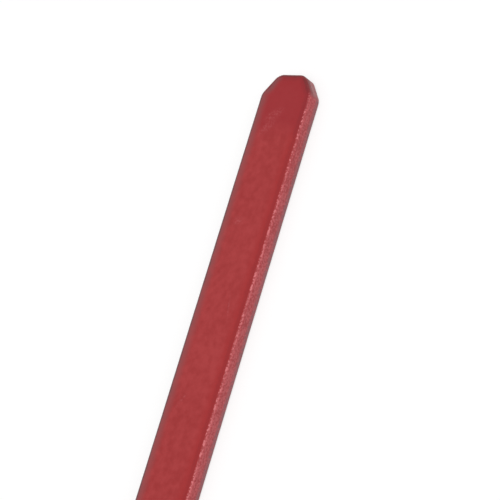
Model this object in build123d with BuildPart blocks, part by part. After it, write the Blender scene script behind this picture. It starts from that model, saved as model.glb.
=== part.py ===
from build123d import *
import os
from math import atan2, pi, tan

# Hive tool: a tempered steel strip, forged wide at one end into a scraping and prying blade,
# with a red grip moulded round its tang. It lies flat, blade towards -X, handle towards +X,
# with the origin under its middle on the surface that it rests on.

os.makedirs("parts", exist_ok=True)

# Steel strip
steel_thickness = 3.2
tang_width = 19.2  # the neck and the tang inside the grip
steel_edge_break = 0.3  # small chamfer that takes the burr off every long edge

# Blade
blade_width = 45.0
blade_side_length = 40.0  # straight sides behind the scraping edge
flare_length = 44.0  # reverse curve from the blade's side down to the neck
neck_length = 16.0  # bare steel between the flare and the grip's mouth
blade_corner_cut = 1.2  # 45 degree cut that takes the point off each blade corner
bevel_length = 14.0  # ground on the upper face
edge_thickness = 0.6  # steel left at the scraping edge

# Keyhole for pulling nails, and for hanging the tool on a nail
nail_hole_radius = 4.5
nail_hole_setback = 28.0  # scraping edge to the middle of the hole
nail_slot_width = 3.4
nail_slot_length = 15.0  # middle of the hole to the end of the slot

# Notch that makes the blade's side a hook for lifting a frame by its ear
lift_notch_width = 10.0
lift_notch_depth = 12.0
lift_notch_setback = 41.0  # scraping edge to the middle of the notch
hook_tip_radius = 1.5
shoulder_radius = 6.0  # eases the way in behind the hook

# Cut corners at the end of the tang
tang_cut_along = 6.6
tang_cut_across = 4.6

# Holes through the tang that the moulded grip runs into
anchor_hole_radius = 3.0
anchor_pitch = 40.0
anchor_margin = 20.0  # least distance from either end of the grip to an anchor hole

# Moulded grip
grip_length = 180.0
grip_wall = 1.55
grip_fit = 0.05  # gap left between the moulding and the steel on every side
grip_edge_radius = 1.1
grip_side_corner_radius = 4.0  # where a long side turns into its cut corner
grip_end_corner_radius = 4.0  # where a cut corner turns into the flat end
grip_mouth_corner_radius = 2.0  # where a long side turns into the mouth

# Levels and stations that follow from the sizes above
grip_growth = grip_wall + grip_fit  # from the steel's faces out to the grip's faces
grip_thickness = steel_thickness + 2 * grip_growth
steel_bottom = grip_growth
steel_top = steel_bottom + steel_thickness
tool_length = blade_side_length + flare_length + neck_length + grip_length
edge_x = -tool_length / 2
grip_end_x = tool_length / 2
grip_mouth_x = grip_end_x - grip_length
grip_middle_x = grip_end_x - grip_length / 2
tang_end_x = grip_end_x - grip_growth
blade_half = blade_width / 2
tang_half = tang_width / 2
neck_x = edge_x + blade_side_length + flare_length
notch_x = edge_x + lift_notch_setback
nail_hole_x = edge_x + nail_hole_setback
anchor_count = 1 + int((grip_length - 2 * anchor_margin) / anchor_pitch)
anchor_start_x = grip_middle_x - anchor_pitch * (anchor_count - 1) / 2
anchor_points = [(anchor_start_x + anchor_pitch * number, 0) for number in range(anchor_count)]


def flare(side):
    """Reverse curve of two equal arcs, from the blade's straight side to the neck."""
    start = (edge_x + blade_side_length, side * blade_half)
    finish = (neck_x, side * tang_half)
    middle = ((start[0] + finish[0]) / 2, (start[1] + finish[1]) / 2)
    TangentArc(start, middle, tangent=(1, 0))
    TangentArc(finish, middle, tangent=(-1, 0))


def tang_corners(start_x, growth):
    """Corners of the tang from start_x round its cut end, all moved outwards by growth."""
    cut_angle = atan2(tang_cut_across, tang_cut_along)
    side_y = tang_half + growth
    cut_start_x = tang_end_x - tang_cut_along + growth * tan(cut_angle / 2)
    end_y = tang_half - tang_cut_across + growth * tan(pi / 4 - cut_angle / 2)
    upper = [(start_x, side_y), (cut_start_x, side_y), (tang_end_x + growth, end_y)]
    return upper + [(x, -y) for x, y in reversed(upper)]


def notch_lip(plate, x):
    """The upright edge where the notch's wall at station x meets the side of the blade."""
    uprights = plate.edges().filter_by(Axis.Z)
    wall_edges = uprights.sort_by(lambda edge: abs(edge.center().X - x))[:2]
    return wall_edges.sort_by(Axis.Y)[0]


# The steel is one piece: blade, neck and tang are cut from one strip.
with BuildPart() as blade_and_tang:
    with BuildSketch(Plane.XY.offset(steel_bottom)):
        with BuildLine():
            Polyline(
                (edge_x + blade_side_length, -blade_half),
                (edge_x + blade_corner_cut, -blade_half),
                (edge_x, blade_corner_cut - blade_half),
                (edge_x, blade_half - blade_corner_cut),
                (edge_x + blade_corner_cut, blade_half),
                (edge_x + blade_side_length, blade_half),
            )
            flare(1)
            flare(-1)
            Polyline(*tang_corners(neck_x, 0))
        make_face()
        # The notch is cut in from the side, with a full round at its bottom.
        notch_bottom_centre = (notch_x, lift_notch_depth - lift_notch_width / 2 - blade_half)
        SlotCenterPoint((notch_x, -blade_half), notch_bottom_centre, lift_notch_width, mode=Mode.SUBTRACT)
    extrude(amount=steel_thickness)
    # The hook's tip is rounded, and the shoulder behind it is eased so that a frame's ear slips in.
    fillet(notch_lip(blade_and_tang, notch_x - lift_notch_width / 2), hook_tip_radius)
    fillet(notch_lip(blade_and_tang, notch_x + lift_notch_width / 2), shoulder_radius)
    # Keyhole: a round hole for the nail's head and a slot for its shank, towards the handle.
    with BuildSketch(Plane.XY.offset(steel_bottom)):
        with Locations((nail_hole_x, 0)):
            Circle(nail_hole_radius)
        slot_reach = nail_slot_length - nail_slot_width / 2
        with Locations((nail_hole_x + slot_reach / 2, 0)):
            SlotCenterToCenter(slot_reach, nail_slot_width)
    extrude(amount=steel_thickness, mode=Mode.SUBTRACT)
    # Every edge of both faces is broken, apart from the scraping edge itself.
    face_edges = blade_and_tang.faces().filter_by(Axis.Z).edges()
    long_edges = face_edges.filter_by(lambda edge: edge.center().X > edge_x + blade_corner_cut)
    chamfer(long_edges, steel_edge_break)
    # The bevel is ground across the upper face down to the scraping edge.
    with BuildSketch(Plane.XZ):
        with BuildLine():
            Polyline(
                (edge_x, steel_bottom + edge_thickness),
                (edge_x + bevel_length, steel_top),
                (edge_x, steel_top),
                close=True,
            )
        make_face()
    extrude(amount=blade_width, both=True, mode=Mode.SUBTRACT)
    # The anchor holes are punched along the middle of the tang.
    with BuildSketch(Plane.XY.offset(steel_bottom)):
        with Locations(*anchor_points):
            Circle(anchor_hole_radius)
    extrude(amount=steel_thickness, mode=Mode.SUBTRACT)

# The grip is moulded over the tang and runs through its anchor holes as solid plugs.
with BuildPart() as handle_grip:
    with BuildSketch():
        with BuildLine():
            corner_radii = [grip_mouth_corner_radius, grip_side_corner_radius, grip_end_corner_radius]
            FilletPolyline(
                *tang_corners(grip_mouth_x, grip_growth),
                radius=corner_radii + corner_radii[::-1],
                close=True,
            )
        make_face()
    extrude(amount=grip_thickness)
    fillet(handle_grip.faces().filter_by(Axis.Z).edges(), grip_edge_radius)
    with BuildSketch(Plane.XY.offset(steel_bottom - grip_fit)):
        with BuildLine():
            Polyline(*tang_corners(neck_x, grip_fit), close=True)
        make_face()
    extrude(amount=steel_thickness + 2 * grip_fit, mode=Mode.SUBTRACT)
    with BuildSketch(Plane.XY.offset(steel_bottom - grip_fit)):
        with Locations(*anchor_points):
            Circle(anchor_hole_radius - grip_fit)
    extrude(amount=steel_thickness + 2 * grip_fit)

blade_and_tang.part.label = "blade_and_tang"
export_step(blade_and_tang.part, "parts/blade_and_tang.step")
handle_grip.part.label = "handle_grip"
export_step(handle_grip.part, "parts/handle_grip.step")
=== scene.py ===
import math

import bmesh
import bpy
from mathutils import Matrix, Vector, noise


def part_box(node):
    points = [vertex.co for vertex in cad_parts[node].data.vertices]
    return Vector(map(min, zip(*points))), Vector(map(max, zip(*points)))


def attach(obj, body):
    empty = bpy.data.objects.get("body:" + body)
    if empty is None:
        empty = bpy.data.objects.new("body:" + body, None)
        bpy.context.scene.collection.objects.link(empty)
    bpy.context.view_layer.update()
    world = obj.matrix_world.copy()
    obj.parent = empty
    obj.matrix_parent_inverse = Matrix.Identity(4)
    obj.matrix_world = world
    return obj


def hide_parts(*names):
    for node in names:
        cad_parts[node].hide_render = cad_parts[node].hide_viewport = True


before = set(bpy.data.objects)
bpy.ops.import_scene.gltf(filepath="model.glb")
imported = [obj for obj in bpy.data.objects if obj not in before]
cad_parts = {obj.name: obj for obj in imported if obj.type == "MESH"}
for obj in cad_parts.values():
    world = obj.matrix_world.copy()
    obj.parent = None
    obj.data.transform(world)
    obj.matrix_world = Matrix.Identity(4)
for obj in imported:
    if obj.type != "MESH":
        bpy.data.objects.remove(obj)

scene = bpy.context.scene
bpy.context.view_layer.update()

# ---- Blade and tang -------------------------------------------------------------------------
# One strip of tempered spring steel, cut out with its tang, belt ground along both faces and
# bevelled on a wheel at the scraping end. Its tang runs inside the grip almost to its far end.
mm = 0.001
bevel_rise = 2.6 * mm
bevel_run = 14 * mm
side_levelness = 0.5  # a face that is less level than this is one of the cut sides
steel_light = "C8C8C6"
steel_dark = "9E9D9A"
steel_scratch = "D2D2D0"
steel_line_width = 0.8 * mm  # a real belt leaves lines of 0.1 mm, too fine to show
steel_line_length = 45 * mm
steel_line_depth = 0.006 * mm
steel_line_contrast = 0.55
steel_cloud_size = 14 * mm
steel_cloud_contrast = 0.5
steel_tone_shift = -0.05
scratch_width = 0.3 * mm
scratch_length = 40 * mm
scratch_turns = (24, -41, 78)
scratch_start = 0.74  # only the peaks of the pattern are scratches
scratch_full = 0.78
steel_roughness_least = 0.20
side_roughness_more = 0.14
line_roughness_more = 0.25


def srgb(hex_colour):
    """The linear colour of an sRGB hex value such as "A54041"."""
    channels = [int(hex_colour[start:start + 2], 16) / 255 for start in (0, 2, 4)]
    linear = [c / 12.92 if c <= 0.04045 else ((c + 0.055) / 1.055) ** 2.4 for c in channels]
    return (*linear, 1.0)


def node(owner, kind, links=None, **settings):
    """Adds a node: settings are its own properties, and links feed or set its sockets.

    A link is a value, another node's socket, or another node, which gives its first output.
    """
    made = owner.node_tree.nodes.new(kind)
    for name, value in settings.items():
        setattr(made, name, value)
    for socket, source in (links or {}).items():
        if isinstance(source, bpy.types.Node):
            source = source.outputs[0]
        if isinstance(source, bpy.types.NodeSocket):
            owner.node_tree.links.new(source, made.inputs[socket])
        else:
            made.inputs[socket].default_value = source
    return made


def bare_material(name):
    """A node material that is still empty."""
    material = bpy.data.materials.new(name)
    material.use_nodes = True
    material.node_tree.nodes.clear()
    return material


# Spring steel is a grey metal. The ground lines run along the faces, across the bevel and
# straight down the cut sides, and each set spreads the shine across its own direction.
steel = bare_material("ground_spring_steel")
place = node(steel, "ShaderNodeTexCoord")
facing = node(steel, "ShaderNodeSeparateXYZ", {"Vector": place.outputs["Normal"]})
levelness = node(steel, "ShaderNodeMath", {0: facing.outputs["Z"]}, operation="ABSOLUTE")
bevel_levelness = bevel_run / math.hypot(bevel_run, bevel_rise)
on_bevel = node(
    steel, "ShaderNodeMath",
    {0: levelness, 1: bevel_levelness, 2: (1 - bevel_levelness) / 2}, operation="COMPARE",
)
on_side = node(steel, "ShaderNodeMath", {0: levelness, 1: side_levelness}, operation="LESS_THAN")

across_lines = 1 / steel_line_width
along_lines = 1 / steel_line_length
ground_lines = []
for stretch in (
    (along_lines, across_lines, across_lines),
    (across_lines, along_lines, across_lines),
    (across_lines, across_lines, along_lines),
):
    stretched = node(
        steel, "ShaderNodeMapping", {"Vector": place.outputs["Object"], "Scale": stretch}
    )
    ground_lines.append(node(
        steel, "ShaderNodeTexNoise",
        {"Vector": stretched, "Scale": 1.0, "Detail": 3.0, "Roughness": 0.6},
    ))
face_lines, bevel_lines, side_lines = ground_lines
flat_lines = node(steel, "ShaderNodeMix", {"Factor": on_bevel, "A": face_lines, "B": bevel_lines})
lines = node(steel, "ShaderNodeMix", {"Factor": on_side, "A": flat_lines, "B": side_lines})

# Handling scratches lie in a few directions and catch the light.
scratches = 0.0
for angle in scratch_turns:
    turned = node(
        steel, "ShaderNodeMapping",
        {"Vector": place.outputs["Object"], "Rotation": (0, 0, math.radians(angle))},
    )
    drawn = node(
        steel, "ShaderNodeMapping",
        {"Vector": turned, "Scale": (1 / scratch_length, 1 / scratch_width, 0)},
    )
    streaks = node(steel, "ShaderNodeTexNoise", {"Vector": drawn, "Scale": 1.0, "Detail": 1.0})
    cut = node(
        steel, "ShaderNodeMapRange",
        {"Value": streaks, "From Min": scratch_start, "From Max": scratch_full},
    )
    scratches = node(steel, "ShaderNodeMath", {0: scratches, 1: cut}, operation="MAXIMUM")

clouds = node(
    steel, "ShaderNodeTexNoise",
    {"Vector": place.outputs["Object"], "Scale": 1 / steel_cloud_size, "Detail": 2.0},
)
tone = node(
    steel, "ShaderNodeMath",
    {0: lines, 1: steel_line_contrast, 2: steel_tone_shift}, operation="MULTIPLY_ADD",
)
toned = node(
    steel, "ShaderNodeMath",
    {0: clouds, 1: steel_cloud_contrast, 2: tone}, operation="MULTIPLY_ADD",
)
ground = node(
    steel, "ShaderNodeMixRGB",
    {"Fac": toned, "Color1": srgb(steel_dark), "Color2": srgb(steel_light)},
)
marked = node(
    steel, "ShaderNodeMixRGB",
    {"Fac": scratches, "Color1": ground, "Color2": srgb(steel_scratch)},
)
side_roughness = node(
    steel, "ShaderNodeMath",
    {0: on_side, 1: side_roughness_more, 2: steel_roughness_least}, operation="MULTIPLY_ADD",
)
steel_roughness = node(
    steel, "ShaderNodeMath",
    {0: lines, 1: line_roughness_more, 2: side_roughness}, operation="MULTIPLY_ADD",
)
scored = node(steel, "ShaderNodeMath", {0: lines, 1: scratches}, operation="SUBTRACT")
relief = node(
    steel, "ShaderNodeBump", {"Height": scored, "Strength": 1.0, "Distance": steel_line_depth}
)
steel_shader = node(
    steel, "ShaderNodeBsdfPrincipled",
    {"Base Color": marked, "Metallic": 1.0, "Roughness": steel_roughness, "Normal": relief},
)
node(steel, "ShaderNodeOutputMaterial", {"Surface": steel_shader})
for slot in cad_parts["blade_and_tang"].material_slots:
    slot.material = steel

# ---- Grip -----------------------------------------------------------------------------------
# The grip is red vinyl, moulded round the tang in one shot. It is a flat bar with cut corners
# at its end, soft edges all round and a pocket inside that the tang fills.
grip_low, grip_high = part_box("handle_grip")
mouth_x = grip_low.x
end_x = grip_high.x
side_y = grip_high.y
grip_thickness = grip_high.z
tang_end_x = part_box("blade_and_tang")[1].x
growth = end_x - tang_end_x  # from the tang's faces out to the grip's
fit = 0.05 * mm  # the gap between the moulding and the steel
tang_cut_along = 6.6 * mm
tang_cut_across = 4.6 * mm
mouth_radius = 2.0 * mm
corner_radius = 4.0 * mm
edge_radius = 1.1 * mm
round_segments = 6
slice_pitch = 1.25 * mm
slice_snap = 0.01 * mm  # a point this near to a slice counts as on it
mouth_reach = 0.2 * mm  # a face whose middle is this near to the mouth is part of it
wave_size = 8 * mm
wave_depth = 0.05 * mm
ripple_size = 2.5 * mm
ripple_depth = 0.015 * mm

# The outline starts as six corners, at one distance from the tang's own: one at the mouth, one
# where the side meets its cut corner and one at the end, and then the same three back along the
# other side. Each is rounded in the plan before the bar gets its height.
cut_turn = math.atan2(tang_cut_across, tang_cut_along)
cut_along = growth + tang_cut_along - growth * math.tan(cut_turn / 2)
cut_across = growth + tang_cut_across - growth * math.tan(math.pi / 4 - cut_turn / 2)
outline = [
    (mouth_x, -side_y), (end_x - cut_along, -side_y), (end_x, cut_across - side_y),
    (end_x, side_y - cut_across), (end_x - cut_along, side_y), (mouth_x, side_y),
]
grip_bm = bmesh.new()
corners = [grip_bm.verts.new((x, y, 0)) for x, y in outline]
grip_bm.faces.new(corners)
rounding = (
    (corners[0::5], mouth_radius, math.pi / 2),
    (corners[1:5:3], corner_radius, cut_turn),
    (corners[2:4], corner_radius, math.pi / 2 - cut_turn),
)
for pair, radius, turn in rounding:
    bmesh.ops.bevel(
        grip_bm, geom=pair, offset=radius * math.tan(turn / 2), offset_type="OFFSET",
        affect="VERTICES", segments=round_segments, profile=0.5, material=-1,
    )
raised = bmesh.ops.extrude_face_region(grip_bm, geom=grip_bm.faces[:])
raised_verts = [part for part in raised["geom"] if isinstance(part, bmesh.types.BMVert)]
bmesh.ops.translate(grip_bm, verts=raised_verts, vec=(0, 0, grip_thickness))
bmesh.ops.recalc_face_normals(grip_bm, faces=grip_bm.faces[:])
level_edges = [edge for edge in grip_bm.edges if edge.verts[0].co.z == edge.verts[1].co.z]
bmesh.ops.bevel(
    grip_bm, geom=level_edges, offset=edge_radius, offset_type="OFFSET",
    affect="EDGES", segments=round_segments, profile=0.5, material=-1,
)

# Slices give the flat faces enough points to be a little uneven, as a moulding is.
pocket_y = side_y - growth + fit
pocket_wall = growth - fit
across_cuts = [pocket_y, -pocket_y]
slice_count = int(pocket_y / slice_pitch)
across_cuts += [number * slice_pitch for number in range(-slice_count, slice_count + 1)]
along_count = int((end_x - mouth_x) / slice_pitch)
along_cuts = [mouth_x + number * slice_pitch for number in range(1, along_count)]
upright_cuts = [pocket_wall, grip_thickness / 2, grip_thickness - pocket_wall]
cuts = [(Vector((0, 1, 0)), station) for station in across_cuts]
cuts += [(Vector((0, 0, 1)), station) for station in upright_cuts]
cuts += [(Vector((1, 0, 0)), station) for station in along_cuts]
for normal, station in cuts:
    everything = grip_bm.verts[:] + grip_bm.edges[:] + grip_bm.faces[:]
    bmesh.ops.bisect_plane(
        grip_bm, geom=everything, dist=slice_snap, plane_co=normal * station, plane_no=normal
    )

# Each point carries how far in from the outline it lies, because the finish changes with that.
cut_normal = Vector((math.sin(cut_turn), math.cos(cut_turn)))
cut_offset = cut_normal.dot(Vector((end_x, side_y - cut_across)))
from_edge = grip_bm.verts.layers.float.new("from_edge")
for vert in grip_bm.verts:
    x, y = vert.co.x, abs(vert.co.y)
    from_cut = cut_offset - cut_normal.dot((x, y))
    vert[from_edge] = min(side_y - y, end_x - x, x - mouth_x, from_cut)

# The moulding sinks by a few hundredths of a millimetre, never past its own size.
grip_bm.normal_update()
sunk = []
for vert in grip_bm.verts:
    wave = 0.5 + 0.5 * noise.noise(vert.co / wave_size)
    ripple = 0.5 + 0.5 * noise.noise(vert.co / ripple_size)
    sunk.append(vert.co - vert.normal * (wave * wave_depth + ripple * ripple_depth))
for vert, co in zip(grip_bm.verts, sunk):
    vert.co = co

# The pocket goes in from the mouth, and its far end narrows as the tang's cut corners do.
def in_pocket_mouth(face):
    """Whether a face of the mouth lies where the pocket opens."""
    middle = face.calc_center_median()
    inside = abs(middle.y) < pocket_y and pocket_wall < middle.z < grip_thickness - pocket_wall
    return inside and middle.x < mouth_x + mouth_reach


def sink_pocket(faces, depth):
    """Pushes the pocket's end on by depth, with walls behind it, and returns the new end."""
    pushed = bmesh.ops.extrude_face_region(grip_bm, geom=faces)["geom"]
    points = [part for part in pushed if isinstance(part, bmesh.types.BMVert)]
    bmesh.ops.translate(grip_bm, verts=points, vec=(depth, 0, 0))
    bmesh.ops.delete(grip_bm, geom=faces, context="FACES")
    return [part for part in pushed if isinstance(part, bmesh.types.BMFace)]


outside = set(grip_bm.faces)
pocket_mouth = [face for face in grip_bm.faces if in_pocket_mouth(face)]
pocket_neck = sink_pocket(pocket_mouth, tang_end_x - tang_cut_along - mouth_x)
pocket_end = sink_pocket(pocket_neck, tang_cut_along + fit)
for vert in {vert for face in pocket_end for vert in face.verts}:
    vert.co.y *= 1 - tang_cut_across / pocket_y
for face in grip_bm.faces:
    face.smooth = face in outside

grip_mesh = bpy.data.meshes.new("grip")
grip_bm.to_mesh(grip_mesh)
grip_bm.free()
grip = bpy.data.objects.new("grip", grip_mesh)
scene.collection.objects.link(grip)
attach(grip, "root")
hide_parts("handle_grip")

# Plasticised PVC comes out of a polished mould with a satin face, and the mould's side walls
# leave a fine matt grain. Much of the colour below is painted light: painted shade in bands and
# rims along the outline and at the foot of the walls, a painted sheen that makes the walls paler
# and a painted highlight on the arrises.
vinyl_face = "9B191B"
vinyl_pale = "A72A2C"
# The next two colours are painted shade: a dark reflection in a band along the near side's
# outline.
vinyl_near_shade = "A01417"
vinyl_near_shade_deep = "950C12"
vinyl_end = "950213"
# The next two colours are painted shade round the end, in a band and at its rim.
vinyl_end_shade_band = "7E0010"
vinyl_end_rim_shade = "740A10"
# Painted shade in a band along the far side's outline.
vinyl_far_shade = "8A4143"
vinyl_hazed = "AB4044"
# The wall colours are paler partly for the grain and partly as a painted sheen.
vinyl_wall_sheen = "B85155"
vinyl_wall_sheen_dark = "A03035"
# Partly wear and partly a painted highlight on the arrises.
vinyl_rubbed_highlight = "CC666A"
# Painted shade in a rim along the far side's outline.
vinyl_far_rim_shade = "70393D"
# Painted shade at the foot of the walls, and then a greyer tint for the end's walls.
vinyl_foot_shade = "865358"
vinyl_end_wall_tint = "975B5C"
vinyl_ior = 1.53
face_roughness_least = 0.32
mottle_roughness_more = 0.2
wall_roughness_more = 0.08
mottle_size = 2.4 * mm
drift_size = 22 * mm
rub_highlight_size = 7 * mm
grain_size = 0.8 * mm  # a real mould grain is 0.2 mm, too fine to show
grain_depth = 0.03 * mm
peel_size = 1.6 * mm
peel_depth = 0.006 * mm
band_wander = 1.6 * mm  # how far a band along the outline strays from its line
rim_wander = 0.6  # the rim strays by this much of that
end_wander = 14 * mm
deep_end = 29 * mm  # the handle's end is deeper, from this far in
deep_end_full = 17 * mm
end_depth = 0.75
end_band_depth = 0.5
end_rim_strength = 0.5
wall_mottling = 0.5
wall_drifting = 0.15
grain_break = 0.5  # how much of the painted shade the pale tops of the grain break up
scuff_reach = 1.5 * mm
# Each scuff on the upper face: place along and across, then its turn, length and width.
scuffs = (
    (124.1, 2.2, -56, 12, 5.0), (119.6, 3.6, -38, 13, 5.0),
    (83.5, 3.7, -75, 6, 5.0), (52.0, -3.8, 12, 14, 1.2), (18.0, 4.2, -30, 11, 1.4),
    (-24.0, -2.0, 22, 16, 1.4),
)

vinyl = bare_material("moulded_red_vinyl")
grip_place = node(vinyl, "ShaderNodeTexCoord")
grip_facing = node(vinyl, "ShaderNodeSeparateXYZ", {"Vector": grip_place.outputs["Normal"]})
level = node(vinyl, "ShaderNodeMath", {0: grip_facing.outputs["Z"]}, operation="ABSOLUTE")
spot = node(vinyl, "ShaderNodeSeparateXYZ", {"Vector": grip_place.outputs["Object"]})

patterns = []
for size, detail in (
    (mottle_size, 2.0), (drift_size, 1.0), (grain_size, 1.0), (rub_highlight_size, 1.0), (peel_size, 2.0),
):
    patterns.append(node(
        vinyl, "ShaderNodeTexNoise",
        {"Vector": grip_place.outputs["Object"], "Scale": 1 / size, "Detail": detail},
    ))
mottle, drift, grain, rub_highlight_cloud, peel_cloud = patterns

# The distance from the outline strays with the mottle, and the start of the deeper end with
# the drift. The walls' tone is mostly their grain.
from_outline = node(vinyl, "ShaderNodeAttribute", attribute_name="from_edge").outputs["Fac"]
wander = node(
    vinyl, "ShaderNodeMath",
    {0: mottle, 1: band_wander, 2: -band_wander / 2}, operation="MULTIPLY_ADD",
)
wandered = node(vinyl, "ShaderNodeMath", {0: from_outline, 1: wander}, operation="ADD")
uneven_outline = node(
    vinyl, "ShaderNodeMath", {0: wander, 1: rim_wander, 2: from_outline}, operation="MULTIPLY_ADD"
)
end_place = node(
    vinyl, "ShaderNodeMath",
    {0: drift, 1: end_wander, 2: spot.outputs["X"]}, operation="MULTIPLY_ADD",
)
deep_from = end_x - deep_end + end_wander / 2
deep_by = end_x - deep_end_full + end_wander / 2
wall_mottle = node(
    vinyl, "ShaderNodeMath", {0: mottle, 1: wall_mottling, 2: grain}, operation="MULTIPLY_ADD"
)
wall_tone = node(
    vinyl, "ShaderNodeMath", {0: drift, 1: wall_drifting, 2: wall_mottle}, operation="MULTIPLY_ADD"
)

# Where the finish changes: what it goes by, where the change starts and where it is full.
changes = (
    # By how level the surface is, from 0 on a wall to 1 on a face.
    ("wall", level, 0.9, 0.6),
    ("off_face", level, 0.985, 0.93),
    ("off_wall", level, 0.5, 0.7),
    ("off_wall_foot", level, 0.05, 0.35),
    # By the distance in from the outline.
    # The next two bands carry painted shade, a dark reflection beside the near arris.
    ("near_shade_band", wandered, 6.0 * mm, 2.0 * mm),
    ("near_shade_core", wandered, 3.1 * mm, 1.55 * mm),
    ("far_shade_band", wandered, 5.0 * mm, 0.0),
    ("rim", uneven_outline, 1.5 * mm, 0.9 * mm),
    ("end_band", uneven_outline, 4.2 * mm, 1.0 * mm),
    # By the place across, along and up.
    ("far_side", spot.outputs["Y"], 2.5 * mm, 6.5 * mm),
    ("deep_end", end_place, deep_from, deep_by),
    ("end", spot.outputs["X"], end_x - 1.1 * cut_along, end_x - 0.8 * cut_along),
    ("toward_tip", spot.outputs["X"], end_x - 1.1 * cut_along, end_x - 0.25 * cut_along),
    ("foot", spot.outputs["Z"], 3.3 * mm, 1.6 * mm),
    ("wall_top", spot.outputs["Z"], 3.6 * mm, 4.6 * mm),
    # By how strong a pattern is.
    ("haze_grain", grain, 0.3, 0.9),
    ("wall_grain", wall_tone, 0.67, 1.0),
    ("rub_highlight_spots", grain, 0.46, 0.64),
    ("rub_highlight_fade", rub_highlight_cloud, 0.3, 0.6),
)
reach = {}
for name, value, start, full in changes:
    reach[name] = node(
        vinyl, "ShaderNodeMapRange", {"Value": value, "From Min": start, "From Max": full},
        interpolation_type="SMOOTHSTEP",
    )

# The faces are mottled, and their tone drifts along the handle. The walls are grained, and
# their paler colour is partly a painted sheen.
cloudy = node(vinyl, "ShaderNodeMapRange", {"Value": mottle, "From Min": 0.3, "From Max": 0.7})
drifting = node(vinyl, "ShaderNodeMath", {0: drift, 1: -0.5}, operation="ADD")
cloudier = node(
    vinyl, "ShaderNodeMath", {0: cloudy, 1: drifting}, operation="ADD", use_clamp=True
)
face_colour = node(
    vinyl, "ShaderNodeMixRGB",
    {"Fac": cloudier, "Color1": srgb(vinyl_face), "Color2": srgb(vinyl_pale)},
)
wall_grain_and_sheen = node(
    vinyl, "ShaderNodeMixRGB",
    {"Fac": reach["wall_grain"], "Color1": srgb(vinyl_wall_sheen_dark), "Color2": srgb(vinyl_wall_sheen)},
)

# Painted shade: the near side takes a deeper band along its outline, a painted dark reflection
# beside the arris, and the far side a duller, darker band. The end is deeper, with a faint band
# of the same painted shade round it.
deepened = node(
    vinyl, "ShaderNodeMath", {0: reach["deep_end"], 1: end_depth}, operation="MULTIPLY"
)
end_shade_line = node(
    vinyl, "ShaderNodeMath", {0: deepened, 1: reach["near_shade_core"]}, operation="MULTIPLY"
)
faint_end_shade = node(
    vinyl, "ShaderNodeMath", {0: end_shade_line, 1: end_band_depth}, operation="MULTIPLY"
)
far_side_shade = node(
    vinyl, "ShaderNodeMath", {0: reach["far_shade_band"], 1: reach["far_side"]}, operation="MULTIPLY"
)

# Scuffs haze the face where a box or another tool has rubbed it.
haze = 0.0
for along, across, angle, length, width in scuffs:
    on_scuff = node(
        vinyl, "ShaderNodeMapping",
        {
            "Vector": grip_place.outputs["Object"],
            "Location": (along * mm, across * mm, grip_thickness),
            "Rotation": (0, 0, math.radians(angle)),
            "Scale": (length / 2 * mm, width / 2 * mm, scuff_reach),
        },
        vector_type="TEXTURE",
    )
    from_middle = node(vinyl, "ShaderNodeVectorMath", {0: on_scuff}, operation="LENGTH")
    mark = node(
        vinyl, "ShaderNodeMapRange",
        {"Value": from_middle.outputs["Value"], "From Min": 1.0, "From Max": 0.2},
        interpolation_type="SMOOTHSTEP",
    )
    haze = node(vinyl, "ShaderNodeMath", {0: haze, 1: mark}, operation="MAXIMUM")
broken_haze = node(
    vinyl, "ShaderNodeMath", {0: haze, 1: reach["haze_grain"]}, operation="MULTIPLY"
)

# The arrises are paler in spots: partly rubbed by the hand, partly a painted highlight.
on_arris = node(
    vinyl, "ShaderNodeMath", {0: reach["off_face"], 1: reach["off_wall"]}, operation="MULTIPLY"
)
rubbing_and_highlight = node(
    vinyl, "ShaderNodeMath", {0: reach["rub_highlight_spots"], 1: reach["rub_highlight_fade"]}, operation="MULTIPLY"
)
rub_and_highlight = node(vinyl, "ShaderNodeMath", {0: on_arris, 1: rubbing_and_highlight}, operation="MULTIPLY")

# Painted shade: the far side has a dark rim along its outline, and near the end it reaches further
# in.
rim = node(
    vinyl, "ShaderNodeMath", {0: reach["rim"], 1: reach["off_wall_foot"]}, operation="MULTIPLY"
)
end_band_rim = node(
    vinyl, "ShaderNodeMath", {0: reach["end_band"], 1: reach["end"]}, operation="MULTIPLY"
)
softer_end_band_rim = node(vinyl, "ShaderNodeMath", {0: end_band_rim, 1: end_rim_strength}, operation="MULTIPLY")
rim_and_end_band = node(vinyl, "ShaderNodeMath", {0: rim, 1: softer_end_band_rim}, operation="MAXIMUM")
far_rim_shade = node(
    vinyl, "ShaderNodeMath", {0: rim_and_end_band, 1: reach["far_side"]}, operation="MULTIPLY"
)

# Painted shade darkens the foot of the walls where they meet the floor, and the end's walls take a
# greyer tint over their whole height. The pale tops of the grain break up some of it.
foot_and_end = node(vinyl, "ShaderNodeMath", {0: reach["foot"], 1: reach["end"]}, operation="MAXIMUM")
grain_lift = node(
    vinyl, "ShaderNodeMath",
    {0: reach["wall_grain"], 1: -grain_break, 2: 1.0}, operation="MULTIPLY_ADD",
)
held_foot_and_end = node(vinyl, "ShaderNodeMath", {0: foot_and_end, 1: grain_lift}, operation="MULTIPLY")
foot_shade_and_end_tint = node(vinyl, "ShaderNodeMath", {0: held_foot_and_end, 1: reach["wall"]}, operation="MULTIPLY")
foot_shade_and_end_colour = node(
    vinyl, "ShaderNodeMixRGB",
    {"Fac": reach["end"], "Color1": srgb(vinyl_foot_shade), "Color2": srgb(vinyl_end_wall_tint)},
)

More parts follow.
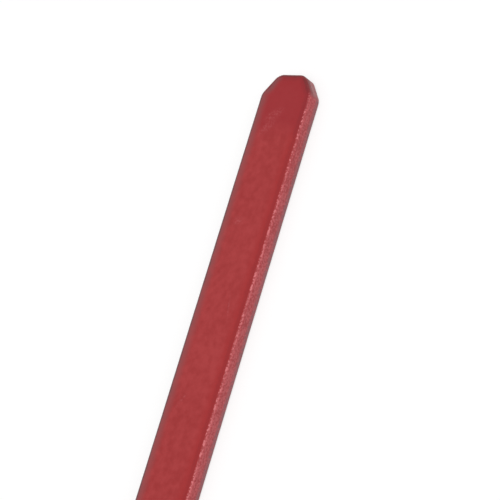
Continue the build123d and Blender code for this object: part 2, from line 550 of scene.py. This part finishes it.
# Painted shade: a deep rim round the end that runs over its arris, darkest at the very end.
over_arris = node(
    vinyl, "ShaderNodeMath",
    {0: reach["off_wall_foot"], 1: reach["wall_top"]}, operation="MAXIMUM",
)
end_rim = node(vinyl, "ShaderNodeMath", {0: reach["rim"], 1: over_arris}, operation="MULTIPLY")
end_rim_shade = node(vinyl, "ShaderNodeMath", {0: end_rim, 1: reach["end"]}, operation="MULTIPLY")
end_rim_shade_tint = node(
    vinyl, "ShaderNodeMixRGB",
    {"Fac": reach["toward_tip"], "Color1": srgb(vinyl_end_shade_band), "Color2": srgb(vinyl_end_rim_shade)},
)

# The layers go on in this order: how much each covers, and its colour.
layers = (
    (reach["near_shade_band"], srgb(vinyl_near_shade)),
    (reach["near_shade_core"], srgb(vinyl_near_shade_deep)),
    (reach["far_side"], face_colour),
    (deepened, srgb(vinyl_end)),
    (faint_end_shade, srgb(vinyl_end_shade_band)),
    (far_side_shade, srgb(vinyl_far_shade)),
    (broken_haze, srgb(vinyl_hazed)),
    (reach["wall"], wall_grain_and_sheen),
    (rub_and_highlight, srgb(vinyl_rubbed_highlight)),
    (far_rim_shade, srgb(vinyl_far_rim_shade)),
    (foot_shade_and_end_tint, foot_shade_and_end_colour),
    (end_rim_shade, end_rim_shade_tint),
)
colour = face_colour
for cover, tint in layers:
    colour = node(vinyl, "ShaderNodeMixRGB", {"Fac": cover, "Color1": colour, "Color2": tint})

face_roughness = node(
    vinyl, "ShaderNodeMath",
    {0: mottle, 1: mottle_roughness_more, 2: face_roughness_least}, operation="MULTIPLY_ADD",
)
vinyl_roughness = node(
    vinyl, "ShaderNodeMath",
    {0: reach["wall"], 1: wall_roughness_more, 2: face_roughness}, operation="MULTIPLY_ADD",
)
peel = node(vinyl, "ShaderNodeBump", {"Height": peel_cloud, "Distance": peel_depth})
wall_relief = node(vinyl, "ShaderNodeMath", {0: grain, 1: reach["wall"]}, operation="MULTIPLY")
skin = node(
    vinyl, "ShaderNodeBump", {"Height": wall_relief, "Distance": grain_depth, "Normal": peel}
)
vinyl_shader = node(
    vinyl, "ShaderNodeBsdfPrincipled",
    {"Base Color": colour, "IOR": vinyl_ior, "Roughness": vinyl_roughness, "Normal": skin},
)
node(vinyl, "ShaderNodeOutputMaterial", {"Surface": vinyl_shader})
grip.data.materials.append(vinyl)

# ---- Floor ----------------------------------------------------------------------------------
# The tool lies on a sheet of white paper, wide enough to run past every view. The camera and
# mirror-like metal see it glow a little, so that it reads as white and still takes the shadow.
floor_half_width = 6.0
paper_colour = (0.35, 0.35, 0.35, 1.0)
paper_glow = 0.67
floor_bm = bmesh.new()
bmesh.ops.create_grid(floor_bm, x_segments=1, y_segments=1, size=floor_half_width)
floor_mesh = bpy.data.meshes.new("floor")
floor_bm.to_mesh(floor_mesh)
floor_bm.free()
floor = bpy.data.objects.new("floor", floor_mesh)
scene.collection.objects.link(floor)

paper = bare_material("white_paper")
path = node(paper, "ShaderNodeLightPath")
seen = path.outputs["Is Camera Ray"]
for ray in ("Is Glossy Ray", "Is Transmission Ray"):
    seen = node(paper, "ShaderNodeMath", {0: seen, 1: path.outputs[ray]}, operation="MAXIMUM")
plain = node(paper, "ShaderNodeBsdfDiffuse", {"Color": paper_colour})
glow = node(paper, "ShaderNodeEmission", {"Color": (1, 1, 1, 1), "Strength": paper_glow})
bright = node(paper, "ShaderNodeAddShader", {0: plain, 1: glow})
sheet = node(paper, "ShaderNodeMixShader", {0: seen, 1: plain, 2: bright})
node(paper, "ShaderNodeOutputMaterial", {"Surface": sheet})
floor.data.materials.append(paper)

# ---- Studio ---------------------------------------------------------------------------------
# White walls all round turn to a dimmer ceiling, and one wide soft lamp hangs over the tool. It
# is on the near side and high, so the shadow falls short behind the bar.
wall_strength = 1.0
wall_rise = 0.05  # where the walls start to turn, with 1 straight overhead
ceiling_strength = 0.62
ceiling_rise = 0.4
lamp_elevation = math.radians(52)
lamp_distance = 2.5
lamp_width = 4.2
lamp_power = 50

studio = bpy.data.worlds.new("studio")
scene.world = studio
studio.use_nodes = True
studio.node_tree.nodes.clear()
direction = node(studio, "ShaderNodeTexCoord")
rise = node(studio, "ShaderNodeSeparateXYZ", {"Vector": direction.outputs["Generated"]})
strength = node(
    studio, "ShaderNodeMapRange",
    {
        "Value": rise.outputs["Z"], "From Min": wall_rise, "From Max": ceiling_rise,
        "To Min": wall_strength, "To Max": ceiling_strength,
    },
)
walls = node(studio, "ShaderNodeBackground", {"Color": (1, 1, 1, 1), "Strength": strength})
node(studio, "ShaderNodeOutputWorld", {"Surface": walls})

towards_lamp = Vector((0, -math.cos(lamp_elevation), math.sin(lamp_elevation)))
lamp_data = bpy.data.lights.new("main_lamp", "AREA")
lamp_data.shape = "DISK"
lamp_data.size = lamp_width
lamp_data.energy = lamp_power
lamp = bpy.data.objects.new("main_lamp", lamp_data)
scene.collection.objects.link(lamp)
lamp_facing = (-towards_lamp).to_track_quat("-Z", "Y").to_matrix().to_4x4()
lamp.matrix_world = Matrix.Translation(towards_lamp * lamp_distance) @ lamp_facing

# ---- Camera ---------------------------------------------------------------------------------
# A long lens looks down on the handle from in front of the tool and turns until the handle
# climbs the frame, leaning to the right, with the handle's end near the top.
camera_azimuth = math.radians(-19.75)
camera_elevation = math.radians(48.11)
camera_roll = math.radians(58.01)
camera_distance = 0.5485
camera_aim = Vector((0.07352, -0.00546, 0.0064))
camera_lens = 115.2
sensor_width = 36.0

towards_camera = Vector((
    math.sin(camera_azimuth) * math.cos(camera_elevation),
    -math.cos(camera_azimuth) * math.cos(camera_elevation),
    math.sin(camera_elevation),
))
camera_data = bpy.data.cameras.new("camera")
camera_data.lens = camera_lens
camera_data.sensor_width = sensor_width
camera = bpy.data.objects.new("camera", camera_data)
scene.collection.objects.link(camera)
looking = (-towards_camera).to_track_quat("-Z", "Y").to_matrix().to_4x4()
rolled = looking @ Matrix.Rotation(-camera_roll, 4, "Z")
camera.matrix_world = Matrix.Translation(camera_aim + towards_camera * camera_distance) @ rolled
scene.camera = camera

scene.view_settings.view_transform = "Standard"
